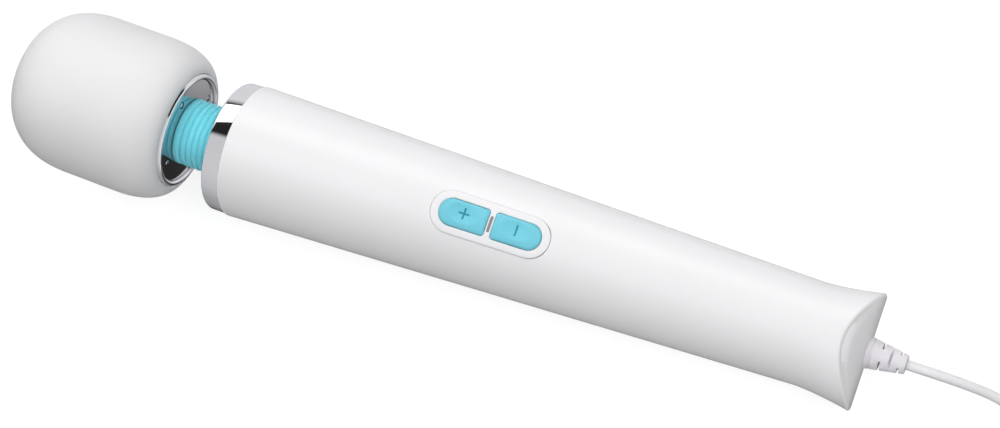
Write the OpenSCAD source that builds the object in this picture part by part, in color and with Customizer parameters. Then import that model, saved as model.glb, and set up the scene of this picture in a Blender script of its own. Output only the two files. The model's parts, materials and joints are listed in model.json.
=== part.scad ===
// Corded handheld wand massager: a soft domed head on a sprung, ribbed neck, driven from a
// motor in a tapering two-part handle, with two speed buttons and a cord to a plug-top adapter.
// Millimetres. The wand is drawn along +X from the tip of its head, buttons towards +Z, and
// lying() then lays it on the surface z = 0, where its head and its tail touch.

/* [Wand] */
// Length from the tip of the head to the end of the handle
wand_len = 340; // [338:1:342]
// Angle by which the tail lies lower than the head
lie_tilt = 2.4; // [2.35:0.05:2.45]
// Angle by which the neck lifts the head
neck_nod = 2; // [0:0.5:3]
// Angle by which the neck turns the head sideways
neck_sway = 1.9; // [0:0.1:3]

/* [Head] */
// Radius of the widest band of the head
head_r = 31.4; // [31:0.1:31.8]
// Length of the dome in front of the band
dome_len = 29; // [28:0.5:30]
// Where the band ends and the rear of the head starts to round in
band_end = 50; // [48:0.5:51]
// Where the rounded rear of the head ends
head_len = 69.5; // [69.3:0.1:69.7]
// Radius of the head at that end
lip_r = 22.8; // [22.6:0.1:23.2]
// Thickness of the soft cushion
cushion_t = 3.2; // [3:0.1:3.3]
// Wall of the hard core inside the cushion
core_t = 2.4; // [2:0.1:2.8]
// Radius of the flat of the polished plate that closes the rear
plate_r = 20.4; // [20.2:0.1:20.6]

/* [Neck] */
// Where the neck bends
pivot_x = 82.8; // [82.4:0.1:83.2]
// Radius over the crests of the neck's ribs
neck_r = 13; // [12.8:0.1:13.2]
// Distance from rib to rib
rib_pitch = 2.5; // [2.3:0.1:2.7]
// Depth of the grooves between the ribs
rib_depth = 0.7; // [0.4:0.1:0.9]

/* [Handle] */
// Where the polished collar ends and the handle's shells begin
shell_x = 96.2; // [96:0.1:96.4]
// Radius of the handle there
grip_r = 25.5; // [25.3:0.1:25.7]
// Loss of radius along each millimetre of the handle
grip_taper = 0.0296; // [0.029:0.0001:0.03]
// Wall of the two shells
shell_t = 2.4; // [2.2:0.1:2.6]
// Where the tail starts to flare sideways
flare_x = 318; // [316:1:320]
// How far the tail flares at its end
flare = 3.4; // [3:0.1:3.6]
// Radius of the rounded end face
end_r = 26; // [25:0.5:27]

/* [Buttons] */
// Middle of the button panel along the wand
panel_x = 201.4; // [200:0.1:203]
// Length of the panel
panel_len = 46; // [45:0.5:47]
// Width of the panel
panel_w = 16; // [15.6:0.1:16.4]
// Length of each button
button_len = 18.4; // [18:0.1:18.8]
// Width of each button
button_w = 10; // [9.8:0.1:10.2]
// Distance between the two buttons
button_gap = 2.4; // [2.2:0.1:2.6]
// How far the buttons stand above the handle
button_proud = 0.9; // [0.8:0.1:1]
// Travel of a button
button_travel = 0.8; // [0.6:0.1:0.8]

/* [Cord] */
// Diameter of the cord
cord_d = 3.5; // [3.4:0.1:3.6]
// Length of the strain relief outside the handle
relief_len = 13.7; // [13:0.1:14]

/* [Hidden] */

// Place of the wand over the surface
mid_x = 176.7;
mid_y = 1.8;
lift = 32.43;

// Heights and stations that more than one piece uses
board_z = 11;
board_t = 1.6;
switch_h = 3.5;
stem_foot = board_z + board_t + 2.6;
stem_top = stem_foot + 2;
core_end_x = 61.6;
plate_x = 70;
plate_back_x = 68.2;
plate_screw_out = 16.2;
socket_x = 91;
bulkhead_x = 99;
bulkhead_end = 104;
can_front = 107;
can_rear = 156;
can_r = 17.5;
shaft_r = 2.5;
bush_r = 2.55;
hub_r = 3.36;
end_mid_x = wand_len - end_r;
relief_end = wand_len + relief_len;
plus_x = panel_x - (button_gap + button_len) / 2;
minus_x = panel_x + (button_gap + button_len) / 2;
plate_screw_angles = [-115.5, -25.5, 64.5, 154.5];
socket_screw_angles = [30, 150, 270];
housing_screw_spots = [[168, 12, -10], [168, -12, -10], [300, 10, -9], [300, -10, -9]];
board_screw_spots = [[178, 8.5], [178, -8.5], [225, 8.5], [225, -8.5]];
clamp_x = 316.5;
clamp_spots = [[clamp_x, 6], [clamp_x, -6]];

// The cord from its strain relief down to the surface and over to the coil
lead_route = [[176.7, -1.8, 17.62], [183, -1.8, 17.3], [189, -1.8, 16.7], [195, -1.8, 15.2],
    [201, -1.9, 12.9], [207, -2.3, 10], [213, -3.6, 7.2], [219, -6.5, 5], [225, -11, 3.4],
    [230.5, -16.2, 2.7], [236, -21, 2.4], [241.5, -24.6, 2.35], [247, -26, 2.35]];
// The cord from the top of the coil to the adapter
tail_route = [[247, -26, 13.15], [252, -25.9, 13.15], [257, -25.5, 13.1], [262, -25, 13.05],
    [267, -24.5, 13], [272, -24.5, 13], [290, -24.5, 13]];
// The coil, whose middle is coil_x along the surface
coil_x = 247;
coil_foot = 0.6;
coil_pitch = 3.6;
coil_turn_r = 26;
coil_rows = 4;
coil_out_r = coil_turn_r + 1.8;
coil_in_r = coil_turn_r - (coil_rows - 1) * coil_pitch - 1.8;
coil_top = coil_foot + cord_d + (coil_rows - 1) * coil_pitch;
tie_w = 9;
tie_t = 0.6;

// The adapter, lying on its back with its blades up
adapter_x = 289;
adapter_y = -17.5;
adapter_size = [54, 36, 26];
adapter_split = 13;
adapter_wall = 2;
entry_y = -24.5;
entry_x = 267;
blade_spots = [[adapter_x + 30, adapter_y - 6.35], [adapter_x + 30, adapter_y + 6.35]];
blade_root = 19;
blade_top = adapter_size[2] + 15.9;

ROUND = 96;
SMALL = 32;

// ---- shapes that more than one piece uses ----

// A solid turned about the wand's axis from an outline of [radius, x]
module turned(outline) {
    rotate([0, 90, 0])
        rotate_extrude($fn = ROUND)
            polygon(outline);
}

module ring(inner, outer, from, to) {
    turned([[inner, from], [outer, from], [outer, to], [inner, to]]);
}

module rod(r, from, to, at = [0, 0], fn = SMALL) {
    translate([from, at[0], at[1]])
        rotate([0, 90, 0])
            cylinder(r = r, h = to - from, $fn = fn);
}

module post(r, from, to, at, fn = SMALL) {
    translate([at[0], at[1], from])
        cylinder(r = r, h = to - from, $fn = fn);
}

module block(low, high) {
    translate(low)
        cube(high - low);
}

// Lays the wand on the surface
module lying() {
    translate([-mid_x, -mid_y, lift])
        rotate([0, lie_tilt, 0])
            children();
}

// Bends the neck, for all that is fixed to the head
module on_head() {
    lying()
        translate([pivot_x, 0, 0])
            rotate([0, neck_nod, -neck_sway])
                translate([-pivot_x, 0, 0])
                    children();
}

// A screw with a pan head, its shank going down from z = 0, and a cross recess in the head
module screw(head_r, head_h, shank_r, shank_l) {
    difference() {
        union() {
            cylinder(r = head_r, h = head_h, $fn = SMALL);
            translate([0, 0, -shank_l])
                cylinder(r = shank_r, h = shank_l, $fn = SMALL);
        }
        for (a = [0, 90])
            rotate([0, 0, a])
                translate([-head_r * 0.6, -head_r * 0.13, head_h * 0.45])
                    cube([head_r * 1.2, head_r * 0.26, head_h]);
    }
}

module screw_along_x(at, angle, radius, head_r, head_h, shank_r, shank_l) {
    rotate([angle, 0, 0])
        translate([at, radius, 0])
            rotate([0, 90, 0])
                screw(head_r, head_h, shank_r, shank_l);
}

// Vectors for a tube along a route: unit, side of the tube at a point, and the tube itself
function unit(v) = v / norm(v);
function heading(route, i) =
    unit(route[min(i + 1, len(route) - 1)] - route[max(i - 1, 0)]);
function tube_ring(route, i, r, sides, ref) =
    let (t = heading(route, i), side = unit(cross(ref, t)), over = cross(t, side))
    [for (k = [0 : sides - 1]) route[i] + r * (cos(360 * k / sides) * side
        + sin(360 * k / sides) * over)];

module tube(route, r, sides = 8, ref = [0, 0, 1]) {
    n = len(route);
    points = [for (i = [0 : n - 1]) each tube_ring(route, i, r, sides, ref)];
    walls = [for (i = [0 : n - 2], k = [0 : sides - 1])
        let (a = i * sides + k, b = i * sides + (k + 1) % sides)
        each [[a, a + sides, b + sides], [a, b + sides, b]]];
    start = [for (k = [0 : sides - 1]) k];
    end = [for (k = [0 : sides - 1]) n * sides - 1 - k];
    polyhedron(points = points, faces = concat(walls, [start], [end]), convexity = 10);
}

function helix(from, to, r, turns, steps) = [for (i = [0 : turns * steps])
    [from + (to - from) * i / (turns * steps), r * cos(360 * i / steps),
        r * sin(360 * i / steps)]];

// The rest bend of the neck at one point: all of it by the head, none of it by the handle
function turn_y(v, a) = [v[0] * cos(a) + v[2] * sin(a), v[1], v[2] * cos(a) - v[0] * sin(a)];
function turn_z(v, a) = [v[0] * cos(a) - v[1] * sin(a), v[1] * cos(a) + v[0] * sin(a), v[2]];
function bent(p) =
    let (part = min(1, max(0, (94 - p[0]) / 20)), arm = p - [pivot_x, 0, 0])
    [pivot_x, 0, 0] + turn_z(turn_y(arm, neck_nod * part), -neck_sway * part);
function bent_helix(from, to, r, turns, steps) =
    [for (p = helix(from, to, r, turns, steps)) bent(p)];

module stadium(l, w) {
    square([l - w, w], center = true);
    for (s = [-1, 1])
        translate([s * (l - w) / 2, 0])
            circle(d = w, $fn = SMALL * 2);
}

// A button seen from above: round at its outer end, nearly square at its inner end
module button_outline(l, w, corner) {
    translate([-(l - w) / 2, 0])
        circle(d = w, $fn = SMALL * 2);
    translate([-(l - w) / 2, -w / 2])
        square([l - w / 2 - corner, w]);
    translate([0, -w / 2 + corner])
        square([l / 2, w - 2 * corner]);
    for (s = [-1, 1])
        translate([l / 2 - corner, s * (w / 2 - corner)])
            circle(r = corner, $fn = SMALL);
}

// ---- outlines ----

// Head: the dome and the rounded rear, each an arc of a superellipse, drawn a distance t inside
DOME_X = 2.36;
DOME_R = 2.68;
REAR_X = 2.4;
function dome(t) = [for (a = [0 : 5 : 90])
    [(head_r - t) * pow(sin(a), 2 / DOME_R),
        dome_len - (dome_len - t) * pow(cos(a), 2 / DOME_X)]];
function rear(r, x_end, r_end) = [for (a = [0 : 6 : 90])
    [r_end + (r - r_end) * cos(a), band_end + (x_end - band_end) * pow(sin(a), 2 / REAR_X)]];
function backwards(list) = [for (i = [len(list) - 1 : -1 : 0]) list[i]];

// Handle: a cone that flares sideways at its tail
function grip(x) = grip_r - (x - shell_x) * grip_taper;
function flared(x) = grip(x) + (x > flare_x
    ? flare * pow((x - flare_x) / (wand_len - flare_x), 1.5) : 0);

// The whole handle drawn a distance t inside its skin: a turned cone whose tail is cut to the
// height of the handle and to the round of the end face
module handle_form(t) {
    face_r = end_r - (t > 0 ? t + 0.4 : 0);
    tail_h = grip(332) - t;
    face_a = asin(tail_h / face_r);
    lead_in = t > 0 ? 0 : 0.4;
    intersection() {
        turned(concat(
            [[0, shell_x - t], [grip_r - t - lead_in, shell_x - t],
                [grip(shell_x + 0.8) - t, shell_x + 0.8]],
            [for (x = [flare_x : 2 : wand_len]) [flared(x) - t, x]],
            [[0, wand_len]]));
        rotate([90, 0, 0])
            linear_extrude(height = 80, center = true)
                polygon(concat(
                    [[shell_x - 10, -40], [flare_x - 4, -40],
                        [flare_x - 4, -grip(flare_x - 4) - 0.3 + t]],
                    [for (k = [-8 : 8]) [end_mid_x + face_r * cos(face_a * k / 8),
                        face_r * sin(face_a * k / 8)]],
                    [[flare_x - 4, grip(flare_x - 4) + 0.3 - t], [flare_x - 4, 40],
                        [shell_x - 10, 40]]));
    }
}

module half(side) {
    block([0, -40, side > 0 ? 0 : -40], [360, 40, side > 0 ? 40 : 0]);
}

// A layer of the handle between two depths, over the stretch of the button panel
module panel_layer(deep, high) {
    a = panel_x - 40;
    b = panel_x + 40;
    turned([[grip(a) + deep, a], [grip(a) + high, a], [grip(b) + high, b], [grip(b) + deep, b]]);
}

// ---- head ----

module head_cushion() {
    color("white")
        on_head()
            turned(concat(dome(0), rear(head_r, head_len, lip_r),
                backwards(rear(head_r - cushion_t, head_len - cushion_t, lip_r)),
                backwards(dome(cushion_t))));
}

module head_core_front() {
    split = 36;
    lap_r = head_r - cushion_t - core_t / 2;
    color("gainsboro")
        on_head() {
            turned(concat(dome(cushion_t),
                [[head_r - cushion_t, split], [lap_r, split], [lap_r, split - 4],
                    [head_r - cushion_t - core_t, split - 4]],
                backwards(dome(cushion_t + core_t))));
            ring(5.2, 8, cushion_t + core_t - 0.4, 18);
        }
}

module head_core_rear() {
    split = 36;
    lap_r = head_r - cushion_t - core_t / 2;
    inner_r = head_r - cushion_t - core_t;
    color("gainsboro")
        on_head()
            difference() {
                turned(concat(
                    [[inner_r, split - 4], [lap_r, split - 4], [lap_r, split],
                        [head_r - cushion_t, split]],
                    rear(head_r - cushion_t, head_len - cushion_t, lip_r),
                    [[plate_r, head_len - cushion_t], [plate_r, plate_back_x],
                        [10.5, plate_back_x], [10.5, 69], [8, 69], [8, 52], [10.5, 52],
                        [10.5, plate_back_x - 2.6], [17.5, plate_back_x - 2.6],
                        [17.5, core_end_x]],
                    backwards(rear(inner_r, core_end_x, 20))));
                for (a = plate_screw_angles)
                    rotate([a, 0, 0])
                        rod(0.8, plate_back_x - 3, plate_x, [plate_screw_out, 0]);
            }
}

// A flat disc with a rolled rim, whose skirt fills the opening of the cushion
module head_plate() {
    rim_r = lip_r - 0.1;
    foot_x = head_len - cushion_t + 0.05;
    color("silver")
        on_head()
            difference() {
                turned([[10.6, plate_back_x + 0.05], [10.6, plate_x], [plate_r - 0.1, plate_x],
                    [plate_r + 0.2, plate_x + 0.25], [plate_r + 0.7, plate_x + 0.42],
                    [plate_r + 1.2, plate_x + 0.45], [rim_r - 0.6, plate_x + 0.3],
                    [rim_r - 0.2, plate_x - 0.05], [rim_r, plate_x - 0.5], [rim_r, foot_x],
                    [plate_r + 0.1, foot_x], [plate_r + 0.1, plate_back_x + 0.05]]);
                for (a = plate_screw_angles)
                    rotate([a, 0, 0]) {
                        rod(0.9, plate_back_x - 1, plate_x, [plate_screw_out, 0]);
                        rod(1.3, plate_x - 0.8, plate_x + 1, [plate_screw_out, 0]);
                    }
            }
}

module plate_screws() {
    color("dimgray")
        on_head()
            for (a = plate_screw_angles)
                screw_along_x(plate_x - 0.8, a, plate_screw_out, 1.15, 0.6, 0.8, 4);
}

// The ring on which the neck's spring stands
module spring_seat() {
    color("silver")
        on_head()
            ring(8, 10.5, 69, plate_x + 0.4);
}

module head_bush_front() {
    color("goldenrod")
        on_head()
            ring(bush_r, 5.2, 10, 18);
}

module head_bush_rear() {
    color("goldenrod")
        on_head()
            ring(bush_r, 8, 53, 60);
}

module eccentric_shaft() {
    color("lightsteelblue")
        on_head() {
            rod(shaft_r, 10.5, 74, fn = ROUND);
            ring(shaft_r, hub_r, 71, 74);
        }
}

module eccentric_weight() {
    color("slategray")
        on_head()
            difference() {
                union() {
                    rod(6, 22, 46);
                    intersection() {
                        rod(16, 22, 46, fn = ROUND);
                        block([20, -20, -20], [48, 20, -2]);
                    }
                }
                rod(shaft_r, 20, 48, fn = ROUND);
            }
}

// ---- neck ----

// Stations and radii of the ribs, with a groove at the pivot
function ribs(from, to) = [for (x = [from : rib_pitch / 8 : to + 0.01])
    [neck_r - rib_depth / 2 - rib_depth / 2 * cos(360 * (x - pivot_x) / rib_pitch), x]];

// Floor of the groove at the pivot: round about the pivot, so that it suits both halves
function groove_floor(from, to) = [for (d = [from : 0.35 : to])
    [sqrt(pow(neck_r - rib_depth, 2) - d * d), pivot_x + d]];

// Two halves that meet in that groove, so that the front one follows the head
module neck_sleeve() {
    inner = 10.8;
    lap = 1.4;
    flank = rib_pitch / 4;
    front = plate_x + 0.4;
    last = bulkhead_x - 0.2;
    color("darkturquoise") {
        on_head()
            turned(concat([[inner, front], [neck_r - rib_depth + 0.1, front]],
                ribs(pivot_x - 4.75 * rib_pitch, pivot_x - flank),
                [[inner, pivot_x - flank]]));
        lying()
            turned(concat([[inner + 0.1, pivot_x - lap]], groove_floor(-lap, 0),
                ribs(pivot_x + flank, pivot_x + 5 * rib_pitch),
                [[neck_r, 96.3], [15, 96.3], [15, last], [inner + 0.1, last]]));
    }
}

module neck_spring() {
    color("silver")
        lying()
            tube(bent_helix(71.6, bulkhead_x - 1.4, 9.3, 8, 16), 1.1, 8, [1, 0, 0]);
}

module drive_spring() {
    color("gray")
        lying()
            tube(bent_helix(71.8, 97, 4.2, 9, 14), 0.7, 8, [1, 0, 0]);
}

// ---- front of the handle ----

module collar_ring() {
    front = 89;
    edge = 0.9;
    color("silver")
        lying()
            turned(concat(
                [[23.5, socket_x], [21, socket_x], [21, front + 0.2]],
                [for (a = [0 : 15 : 90])
                    [24.9 - edge + edge * sin(a), front + edge - edge * cos(a)]],
                [[25.1, shell_x], [23.5, shell_x]]));
}

module neck_socket() {
    color("whitesmoke")
        lying()
            difference() {
                ring(neck_r + 0.3, 23.5, socket_x, shell_x);
                for (a = socket_screw_angles)
                    rotate([a, 0, 0])
                        rod(1.3, 92.6, shell_x + 1, [19, 0]);
            }
}

module bulkhead() {
    color("whitesmoke")
        lying()
            difference() {
                turned([[6, bulkhead_x], [15.2, bulkhead_x], [15.2, shell_x], [22.7, shell_x],
                    [22.7, bulkhead_end], [6, bulkhead_end]]);
                for (a = socket_screw_angles)
                    rotate([a, 0, 0])
                        rod(1.4, shell_x - 1, bulkhead_end + 1, [19, 0]);
            }
}

module socket_screws() {
    color("silver")
        lying()
            for (a = socket_screw_angles)
                screw_along_x(bulkhead_end, a, 19, 2.4, 1.6, 1.3, 11);
}

// ---- handle shells ----

module shell_walls(side) {
    intersection() {
        difference() {
            handle_form(0);
            handle_form(shell_t);
        }
        half(side);
    }
}

// What the strain relief takes out of the end face
module relief_seat() {
    rod(4.7, 330, 345);
    rod(5.75, wand_len - 0.4, 345);
}

module handle_top_shell() {
    color("white")
        lying()
            difference() {
                union() {
                    shell_walls(1);
                    intersection() {
                        handle_form(1);
                        union() {
                            for (s = housing_screw_spots)
                                post(3.2, 0, 30, s);
                            for (s = board_screw_spots)
                                post(2.4, board_z + board_t, 30, s);
                        }
                    }
                }
                for (s = housing_screw_spots)
                    post(1.5, -1, 8, s);
                for (s = board_screw_spots)
                    post(1, 5, 17, s);
                translate([panel_x, 0, 10])
                    linear_extrude(height = 20)
                        stadium(panel_len, panel_w);
                relief_seat();
            }
}

module handle_bottom_shell() {
    color("white")
        lying()
            difference() {
                union() {
                    shell_walls(-1);
                    intersection() {
                        handle_form(1);
                        union() {
                            for (s = housing_screw_spots)
                                post(4, -30, 0, s);
                            block([clamp_x - 2.5, -9, -30], [clamp_x + 2.5, 9, -cord_d / 2]);
                        }
                    }
                }
                for (s = housing_screw_spots) {
                    post(1.6, -20, 1, s);
                    post(3, -30, s[2], s);
                }
                for (s = clamp_spots)
                    post(1, -9, 1, s);
                relief_seat();
            }
}

module housing_screws() {
    color("silver")
        lying()
            for (s = housing_screw_spots)
                translate([s[0], s[1], s[2]])
                    mirror([0, 0, 1])
                        screw(2.8, 1.8, 1.5, 7 - s[2]);
}

// ---- motor ----

module motor_can() {
    color("silver")
        lying()
            turned([[5, 105.2], [7, 105.2], [7, can_front], [can_r, can_front],
                [can_r, can_rear], [16.3, can_rear], [16.3, can_front + 1.5],
                [5, can_front + 1.5]]);
}

module motor_end_cap() {
    color("black")
        lying()
            turned([[5, 152], [7.5, 152], [7.5, 154.5], [14, 154.5], [14, 153], [16.3, 153],
                [16.3, can_rear], [can_r, can_rear], [can_r, 158.5], [5, 158.5]]);
}

module motor_magnets() {
    color("dimgray")
        lying()
            difference() {
                ring(12.3, 16.3, 113, 143);
                block([110, -20, -6], [150, 20, 6]);
            }
}

module motor_bush_front() {
    color("goldenrod")
        lying()
            ring(bush_r, 5, 105.2, 110);
}

module motor_bush_rear() {
    color("goldenrod")
        lying()
            ring(bush_r, 5, 152, 158.5);
}

module motor_isolator_front() {
    color("darkslategray")
        lying()
            ring(can_r, 22.4, 108, 113);
}

module motor_isolator_rear() {
    color("darkslategray")
        lying()
            ring(can_r, 21.1, 148, 153);
}

module rotor_shaft() {
    color("lightsteelblue")
        lying() {
            rod(shaft_r, 94, 157.5, fn = ROUND);
            ring(shaft_r, hub_r, 94, 97.5);
        }
}

module rotor_core() {
    slots = 7;
    color("slategray")
        lying()
            difference() {
                rod(11.5, 114, 142, fn = ROUND);
                rod(shaft_r, 112, 144, fn = ROUND);
                for (k = [0 : slots - 1])
                    rotate([360 * k / slots, 0, 0])
                        block([112, -1, 8], [144, 1, 13]);
            }
}

module commutator() {
    color("peru")
        lying()
            ring(shaft_r, 5.5, 144, 150);
}

// ---- electronics and buttons ----

module circuit_board() {
    color("seagreen")
        lying()
            difference() {
                block([174, -11, board_z], [229, 11, board_z + board_t]);
                for (s = board_screw_spots)
                    post(1.1, 5, 17, s);
            }
}

module board_screws() {
    color("silver")
        lying()
            for (s = board_screw_spots)
                translate([s[0], s[1], board_z])
                    mirror([0, 0, 1])
                        screw(2, 1.2, 1, 5.5);
}

module switch_bodies() {
    low = board_z + board_t;
    color("black")
        lying()
            for (x = [plus_x, minus_x])
                difference() {
                    block([x - 3, -3, low], [x + 3, 3, low + switch_h]);
                    post(1.85, stem_foot - button_travel - 0.2, low + 5, [x, 0]);
                }
}

module capacitor() {
    color("darkslateblue")
        lying()
            rod(4, 183, 197, [-5, board_z - 4]);
}

module driver_chip() {
    color("black")
        lying()
            block([204, 1, board_z - 1.4], [212, 7, board_z]);
}

module indicator_led() {
    color("ivory")
        lying()
            block([panel_x - 0.8, -1.6, board_z + board_t],
                [panel_x + 0.8, 1.6, board_z + board_t + 1]);
}

module indicator_lens() {
    color("gray")
        lying()
            intersection() {
                block([panel_x - 0.47, -2.95, board_z + board_t + 1],
                    [panel_x + 0.47, 2.95, 30]);
                panel_layer(-12, 0.2);
            }
}

module button_bezel() {
    color("white")
        lying()
            difference() {
                intersection() {
                    translate([panel_x, 0, 10])
                        linear_extrude(height = 20)
                            stadium(panel_len, panel_w);
                    panel_layer(-2.2, 0.2);
                }
                translate([plus_x, 0, 5])
                    linear_extrude(height = 30)
                        button_outline(button_len + 0.6, button_w + 0.6, 1.5);
                translate([minus_x, 0, 5])
                    rotate([0, 0, 180])
                        linear_extrude(height = 30)
                            button_outline(button_len + 0.6, button_w + 0.6, 1.5);
                block([panel_x - 0.47, -2.95, 5], [panel_x + 0.47, 2.95, 30]);
            }
}

// A button: its cap with a thumb hollow, the flange that holds it under the bezel, and a foot.
// Its round end points along the wand's -X, or along +X once turned. The marks are cut out.
module button(x, turn) {
    hollow_r = 28;
    hollow_deep = 0.5;
    translate([x, 0, 0])
        difference() {
            union() {
                intersection() {
                    linear_extrude(height = 30)
                        rotate([0, 0, turn])
                            button_outline(button_len, button_w, 1.2);
                    translate([-x, 0, 0])
                        panel_layer(-3.4, button_proud);
                }
                intersection() {
                    linear_extrude(height = 30)
                        rotate([0, 0, turn])
                            button_outline(button_len, button_w + 2.6, 1.2);
                    translate([-x, 0, 0])
                        panel_layer(-4.1, -2.9);
                }
                post(2.2, stem_top, grip(x) - 3.6, [0, 0]);
            }
            translate([0, 0, grip(x) + button_proud - hollow_deep + hollow_r])
                sphere(r = hollow_r, $fn = ROUND);
            children();
        }
}

// A bar of a plus or minus sign, cut into the floor of the thumb hollow
module bar(x, along, across) {
    floor_z = grip(x) + button_proud - 0.75;
    block([-along / 2, -across / 2, floor_z], [along / 2, across / 2, floor_z + 2]);
}

module plus_button() {
    color("mediumturquoise")
        lying()
            button(plus_x, 0) {
                bar(plus_x, 4.2, 0.7);
                bar(plus_x, 0.7, 4.2);
            }
}

module minus_button() {
    color("mediumturquoise")
        lying()
            button(minus_x, 180)
                bar(minus_x, 0.7, 4.2);
}

module plus_stem() {
    color("ivory")
        lying()
            post(1.75, stem_foot, stem_top, [plus_x, 0]);
}

module minus_stem() {
    color("ivory")
        lying()
            post(1.75, stem_foot, stem_top, [minus_x, 0]);
}

// ---- leads, cord and adapter ----

module motor_leads() {
    color("firebrick")
        lying()
            for (s = [-1, 1])
                tube([[158.5, 6 * s, 8], [163, 6 * s, 8.2], [168, 5.4 * s, 9], [174, 4.4 * s, 9.9],
                    [180, 4 * s, 10.15]], 0.8, 8);
}

module supply_leads() {
    color("dimgray")
        lying() {
            rod(cord_d / 2, 308, 333.4);
            for (s = [-1, 1])
                tube([[308, 0.8 * s, 0], [296, 1.6 * s, 0.5], [280, 2.4 * s, 2.5],
                    [262, 3 * s, 6], [244, 3.4 * s, 8.8], [226, 3.6 * s, 10]], 0.7, 8);
        }
}

module cord_clamp() {
    color("whitesmoke")
        lying()
            difference() {
                union() {
                    block([clamp_x - 2.5, -9, cord_d / 2], [clamp_x + 2.5, 9, 4.2]);
                    for (s = clamp_spots)
                        post(2.4, -cord_d / 2, cord_d / 2 + 0.1, s);
                }
                for (s = clamp_spots)
                    post(1.1, -5, 6, s);
            }
}

module clamp_screws() {
    color("silver")
        lying()
            for (s = clamp_spots)
                translate([s[0], s[1], 4.2])
                    screw(2, 1.3, 1, 12);
}

// Tapered sleeve of rings: slots cut it from two sides, then from the other two
module strain_relief() {
    slot_w = 0.8;
    slots = [[4.8, 0], [8.2, 90], [11.4, 0]];
    color("whitesmoke")
        lying()
            difference() {
                turned([[0, 333.4], [7, 333.4], [7, 335.9], [4.6, 335.9], [4.6, wand_len - 0.3],
                    [5.65, wand_len - 0.3], [5.65, wand_len + 1.2], [5.15, wand_len + 1.2],
                    [5.15, wand_len + 1.6], [5.45, wand_len + 1.6],
                    [3.4, relief_end], [0, relief_end]]);
                for (s = slots)
                    rotate([s[1], 0, 0])
                        for (side = [-1, 1])
                            block([wand_len + s[0] - slot_w / 2, side > 0 ? 2.3 : -9, -9],
                                [wand_len + s[0] + slot_w / 2, side > 0 ? 9 : -2.3, 9]);
            }
}

module cord_lead() {
    color("white")
        tube(lead_route, cord_d / 2, 8);
}

module cord_tail() {
    color("white")
        tube(tail_route, cord_d / 2, 8);
}

module cord_coil() {
    color("white")
        translate([coil_x, 0, 0])
            rotate_extrude($fn = ROUND)
                polygon([[coil_in_r, coil_foot], [coil_out_r, coil_foot],
                    [coil_out_r, coil_top], [coil_in_r, coil_top]]);
}

module cord_tie() {
    inner_y = coil_in_r - 0.8;
    color("dimgray")
        difference() {
            block([coil_x - tie_w / 2, inner_y - tie_t, 0],
                [coil_x + tie_w / 2, coil_out_r + tie_t, coil_top + tie_t]);
            block([coil_x - tie_w, inner_y, coil_foot],
                [coil_x + tie_w, coil_out_r, coil_top]);
        }
}

module adapter_outline(inset) {
    corner = 6 - inset;
    size = [adapter_size[0] - 2 * inset, adapter_size[1] - 2 * inset];
    square([size[0] - 2 * corner, size[1]], center = true);
    square([size[0], size[1] - 2 * corner], center = true);
    for (sx = [-1, 1], sy = [-1, 1])
        translate([sx * (size[0] / 2 - corner), sy * (size[1] / 2 - corner)])
            circle(r = corner, $fn = SMALL);
}

module adapter_part(from, to, hollow_from, hollow_to) {
    difference() {
        translate([adapter_x + adapter_size[0] / 2, adapter_y, from])
            linear_extrude(height = to - from)
                adapter_outline(0);
        translate([adapter_x + adapter_size[0] / 2, adapter_y, hollow_from])
            linear_extrude(height = hollow_to - hollow_from)
                adapter_outline(adapter_wall);
        rod(3.5, adapter_x - 1, adapter_x + 5, [entry_y, adapter_split]);
    }
}

module adapter_base() {
    color("white")
        adapter_part(0, adapter_split, adapter_wall, adapter_split + 1);
}

module adapter_cover() {
    color("white")
        difference() {
            adapter_part(adapter_split, adapter_size[2], adapter_split - 1,
                adapter_size[2] - adapter_wall);
            for (s = blade_spots)
                block([s[0] - 3.15, s[1] - 0.75, 5], [s[0] + 3.15, s[1] + 0.75, 40]);
        }
}

module adapter_blades() {
    color("silver")
        for (s = blade_spots)
            difference() {
                block([s[0] - 3.15, s[1] - 0.75, blade_root],
                    [s[0] + 3.15, s[1] + 0.75, blade_top]);
                translate([s[0], s[1], blade_top - 4])
                    rotate([90, 0, 0])
                        cylinder(r = 1.6, h = 4, center = true, $fn = SMALL);
            }
}

module adapter_transformer() {
    color("darkgoldenrod")
        block([adapter_x + 8, adapter_y - 11, adapter_wall],
            [adapter_x + 34, adapter_y + 13, 17]);
}

module adapter_strain_relief() {
    bore = cord_d / 2 + 0.1;
    inside_x = adapter_x + adapter_wall;
    color("white")
        translate([0, entry_y, adapter_split])
            turned([[bore, entry_x], [2.6, entry_x], [3.5, adapter_x], [3.5, inside_x],
                [4.6, inside_x], [4.6, inside_x + 3], [bore, inside_x + 3]]);
}

head_cushion();
head_core_front();
head_core_rear();
head_plate();
plate_screws();
spring_seat();
head_bush_front();
head_bush_rear();
eccentric_shaft();
eccentric_weight();
neck_sleeve();
neck_spring();
drive_spring();
collar_ring();
neck_socket();
bulkhead();
socket_screws();
handle_top_shell();
handle_bottom_shell();
housing_screws();
motor_can();
motor_end_cap();
motor_magnets();
motor_bush_front();
motor_bush_rear();
motor_isolator_front();
motor_isolator_rear();
rotor_shaft();
rotor_core();
commutator();
circuit_board();
board_screws();
switch_bodies();
capacitor();
driver_chip();
indicator_led();
indicator_lens();
button_bezel();
plus_button();
plus_stem();
minus_button();
minus_stem();
motor_leads();
supply_leads();
cord_clamp();
clamp_screws();
strain_relief();
cord_lead();
cord_coil();
cord_tie();
cord_tail();
adapter_base();
adapter_cover();
adapter_blades();
adapter_transformer();
adapter_strain_relief();
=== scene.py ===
"""Looks of a corded handheld wand massager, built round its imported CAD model."""

import json
import math

import bmesh
import bpy
import numpy as np
from mathutils import Matrix, Vector
from mathutils.geometry import delaunay_2d_cdt


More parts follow.
